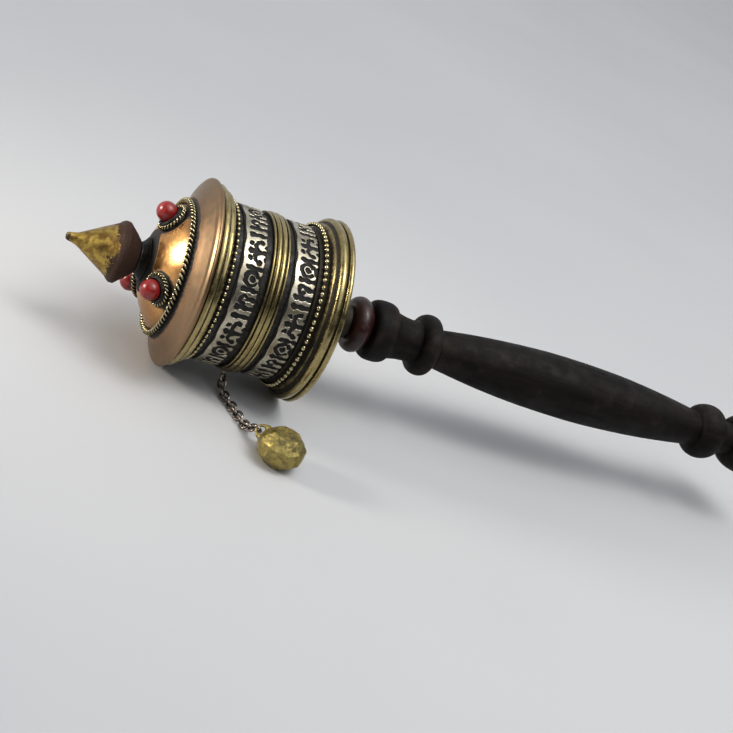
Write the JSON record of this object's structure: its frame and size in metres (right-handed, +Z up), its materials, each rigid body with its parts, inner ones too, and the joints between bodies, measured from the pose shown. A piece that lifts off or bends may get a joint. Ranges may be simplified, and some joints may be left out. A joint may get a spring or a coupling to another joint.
{
  "type": "handheld prayer wheel",
  "caption": "Handheld prayer wheel: an ornamented metal drum with a stone-set lid spins on a rod in a turned dark wood handle, swung by a short chain with a brass weight.",
  "frame": {"origin": "on the rod axis, at the flat end of the handle", "axes": "+X along the rod, out of the handle end, so the finial points to -X; +Z up, with the wheel lying on the two rims of its drum"},
  "size_m": [0.3148, 0.0969, 0.07],
  "materials": {
    "dark_wood": "oiled, nearly black turned hardwood with faint grain",
    "red_wood": "polished dark reddish brown wood",
    "steel": "plain drawn rod",
    "chain_steel": "darkened steel with bright rubbed spots",
    "brass": "polished olive brass with darkened grooves",
    "bead_brass": "brass wire, bright on top and black in the hollows",
    "finial_brass": "hammered brass with dark brown patina at the shoulder",
    "weight_brass": "worn hammered brass",
    "copper": null,
    "white_metal": "worn white metal with blackened recesses",
    "black_patina": "blackened metal",
    "coral": "polished red coral",
    "paper": "rolled aged paper"
  },
  "bodies": {
    "handle": {"handle": "dark_wood", "axle_rod": "steel"},
    "washer": {"washer_bead": "red_wood"},
    "drum": {"base_bushing": "brass", "drum_base": "brass", "drum_shell": "black_patina", "base_rim": "brass", "bead_ring_lower": "bead_brass", "ornament_band_lower": "white_metal", "centre_moulding": "brass", "ornament_band_upper": "white_metal", "bead_ring_upper": "bead_brass", "cornice_moulding": "brass", "chain_eyelet": "chain_steel"},
    "roll": {"roll_tube": "brass", "paper_roll": "paper"},
    "lid": {"lid": "copper", "lid_rope_ring": "bead_brass", "neck_collar": "black_patina", "bezel_1": "black_patina", "coral_stone_1": "coral", "bezel_wire_1": "bead_brass", "bezel_2": "black_patina", "coral_stone_2": "coral", "bezel_wire_2": "bead_brass", "bezel_3": "black_patina", "coral_stone_3": "coral", "bezel_wire_3": "bead_brass"},
    "finial": {"finial": "finial_brass"},
    "link_1": {"chain_link_1": "chain_steel"},
    "link_2": {"chain_link_2": "chain_steel"},
    "link_3": {"chain_link_3": "chain_steel"},
    "link_4": {"chain_link_4": "chain_steel"},
    "link_5": {"chain_link_5": "chain_steel"},
    "link_6": {"chain_link_6": "chain_steel"},
    "link_7": {"chain_link_7": "chain_steel"},
    "link_8": {"chain_link_8": "chain_steel"},
    "link_9": {"chain_link_9": "chain_steel"},
    "link_10": {"chain_link_10": "chain_steel"},
    "link_11": {"chain_link_11": "chain_steel"},
    "link_12": {"chain_link_12": "chain_steel"},
    "weight": {"chain_weight": "weight_brass"}
  },
  "joints": [
    {"name": "washer_spin", "type": "hinge", "parent": "handle", "child": "washer", "pos_m": [-0.2017, 0, 0], "axis": [-1, 0, 0], "continuous": true},
    {"name": "drum_spin", "type": "hinge", "parent": "handle", "child": "drum", "pos_m": [-0.245, 0, 0], "axis": [-1, 0, 0], "continuous": true},
    {"name": "finial_lift", "type": "slide", "parent": "handle", "child": "finial", "axis": [-1, 0, 0], "range_m": [0, 0.16]},
    {"name": "lid_lift", "type": "slide", "parent": "drum", "child": "lid", "axis": [-1, 0, 0], "range_m": [0, 0.112]},
    {"name": "roll_lift", "type": "slide", "parent": "drum", "child": "roll", "axis": [-1, 0, 0], "range_m": [0, 0.064]},
    {"name": "link_1_swing", "type": "hinge", "parent": "drum", "child": "link_1", "pos_m": [-0.2459, -0.01566, -0.0304], "axis": [0.7071, 0.6286, -0.3238], "range_deg": [-25, 25]},
    {"name": "link_2_swing", "type": "hinge", "parent": "link_1", "child": "link_2", "pos_m": [-0.24576, -0.01755, -0.03242], "axis": [0.7402, -0.4914, 0.459], "range_deg": [-25, 25]},
    {"name": "link_3_swing", "type": "hinge", "parent": "link_2", "child": "link_3", "pos_m": [-0.24481, -0.02013, -0.03317], "axis": [-0.5923, -0.4611, 0.6607], "range_deg": [-25, 25]},
    {"name": "link_4_swing", "type": "hinge", "parent": "link_3", "child": "link_4", "pos_m": [-0.2436, -0.02261, -0.03344], "axis": [-0.6847, -0.2036, -0.6998], "range_deg": [-25, 25]},
    {"name": "link_5_swing", "type": "hinge", "parent": "link_4", "child": "link_5", "pos_m": [-0.24252, -0.02514, -0.03354], "axis": [0.6333, 0.3169, -0.7061], "range_deg": [-25, 25]},
    {"name": "link_6_swing", "type": "hinge", "parent": "link_5", "child": "link_6", "pos_m": [-0.24152, -0.0277, -0.03346], "axis": [0.6527, 0.2721, 0.707], "range_deg": [-25, 25]},
    {"name": "link_7_swing", "type": "hinge", "parent": "link_6", "child": "link_7", "pos_m": [-0.24063, -0.0303, -0.0335], "axis": [-0.6652, -0.2399, 0.7071], "range_deg": [-25, 25]},
    {"name": "link_8_swing", "type": "hinge", "parent": "link_7", "child": "link_8", "pos_m": [-0.23982, -0.03293, -0.0335], "axis": [-0.675, -0.2107, -0.7071], "range_deg": [-25, 25]},
    {"name": "link_9_swing", "type": "hinge", "parent": "link_8", "child": "link_9", "pos_m": [-0.23901, -0.03556, -0.03337], "axis": [0.6838, 0.182, -0.7066], "range_deg": [-25, 25]},
    {"name": "link_10_swing", "type": "hinge", "parent": "link_9", "child": "link_10", "pos_m": [-0.23825, -0.03814, -0.03281], "axis": [0.6425, 0.3201, 0.6962], "range_deg": [-25, 25]},
    {"name": "link_11_swing", "type": "hinge", "parent": "link_10", "child": "link_11", "pos_m": [-0.23763, -0.04038, -0.03127], "axis": [-0.7755, 0.1456, 0.6143], "range_deg": [-25, 25]},
    {"name": "link_12_swing", "type": "hinge", "parent": "link_11", "child": "link_12", "pos_m": [-0.23681, -0.04258, -0.02983], "axis": [-0.5444, -0.5808, -0.6052], "range_deg": [-25, 25]},
    {"name": "weight_swing", "type": "hinge", "parent": "link_12", "child": "weight", "pos_m": [-0.23596, -0.04472, -0.02832], "axis": [0.7987, -0.0994, -0.5935], "range_deg": [-25, 25]}
  ],
  "couplings": [
    {"joint": "lid_lift", "follows": "finial_lift", "ratio": 0.7},
    {"joint": "roll_lift", "follows": "finial_lift", "ratio": 0.4}
  ]
}
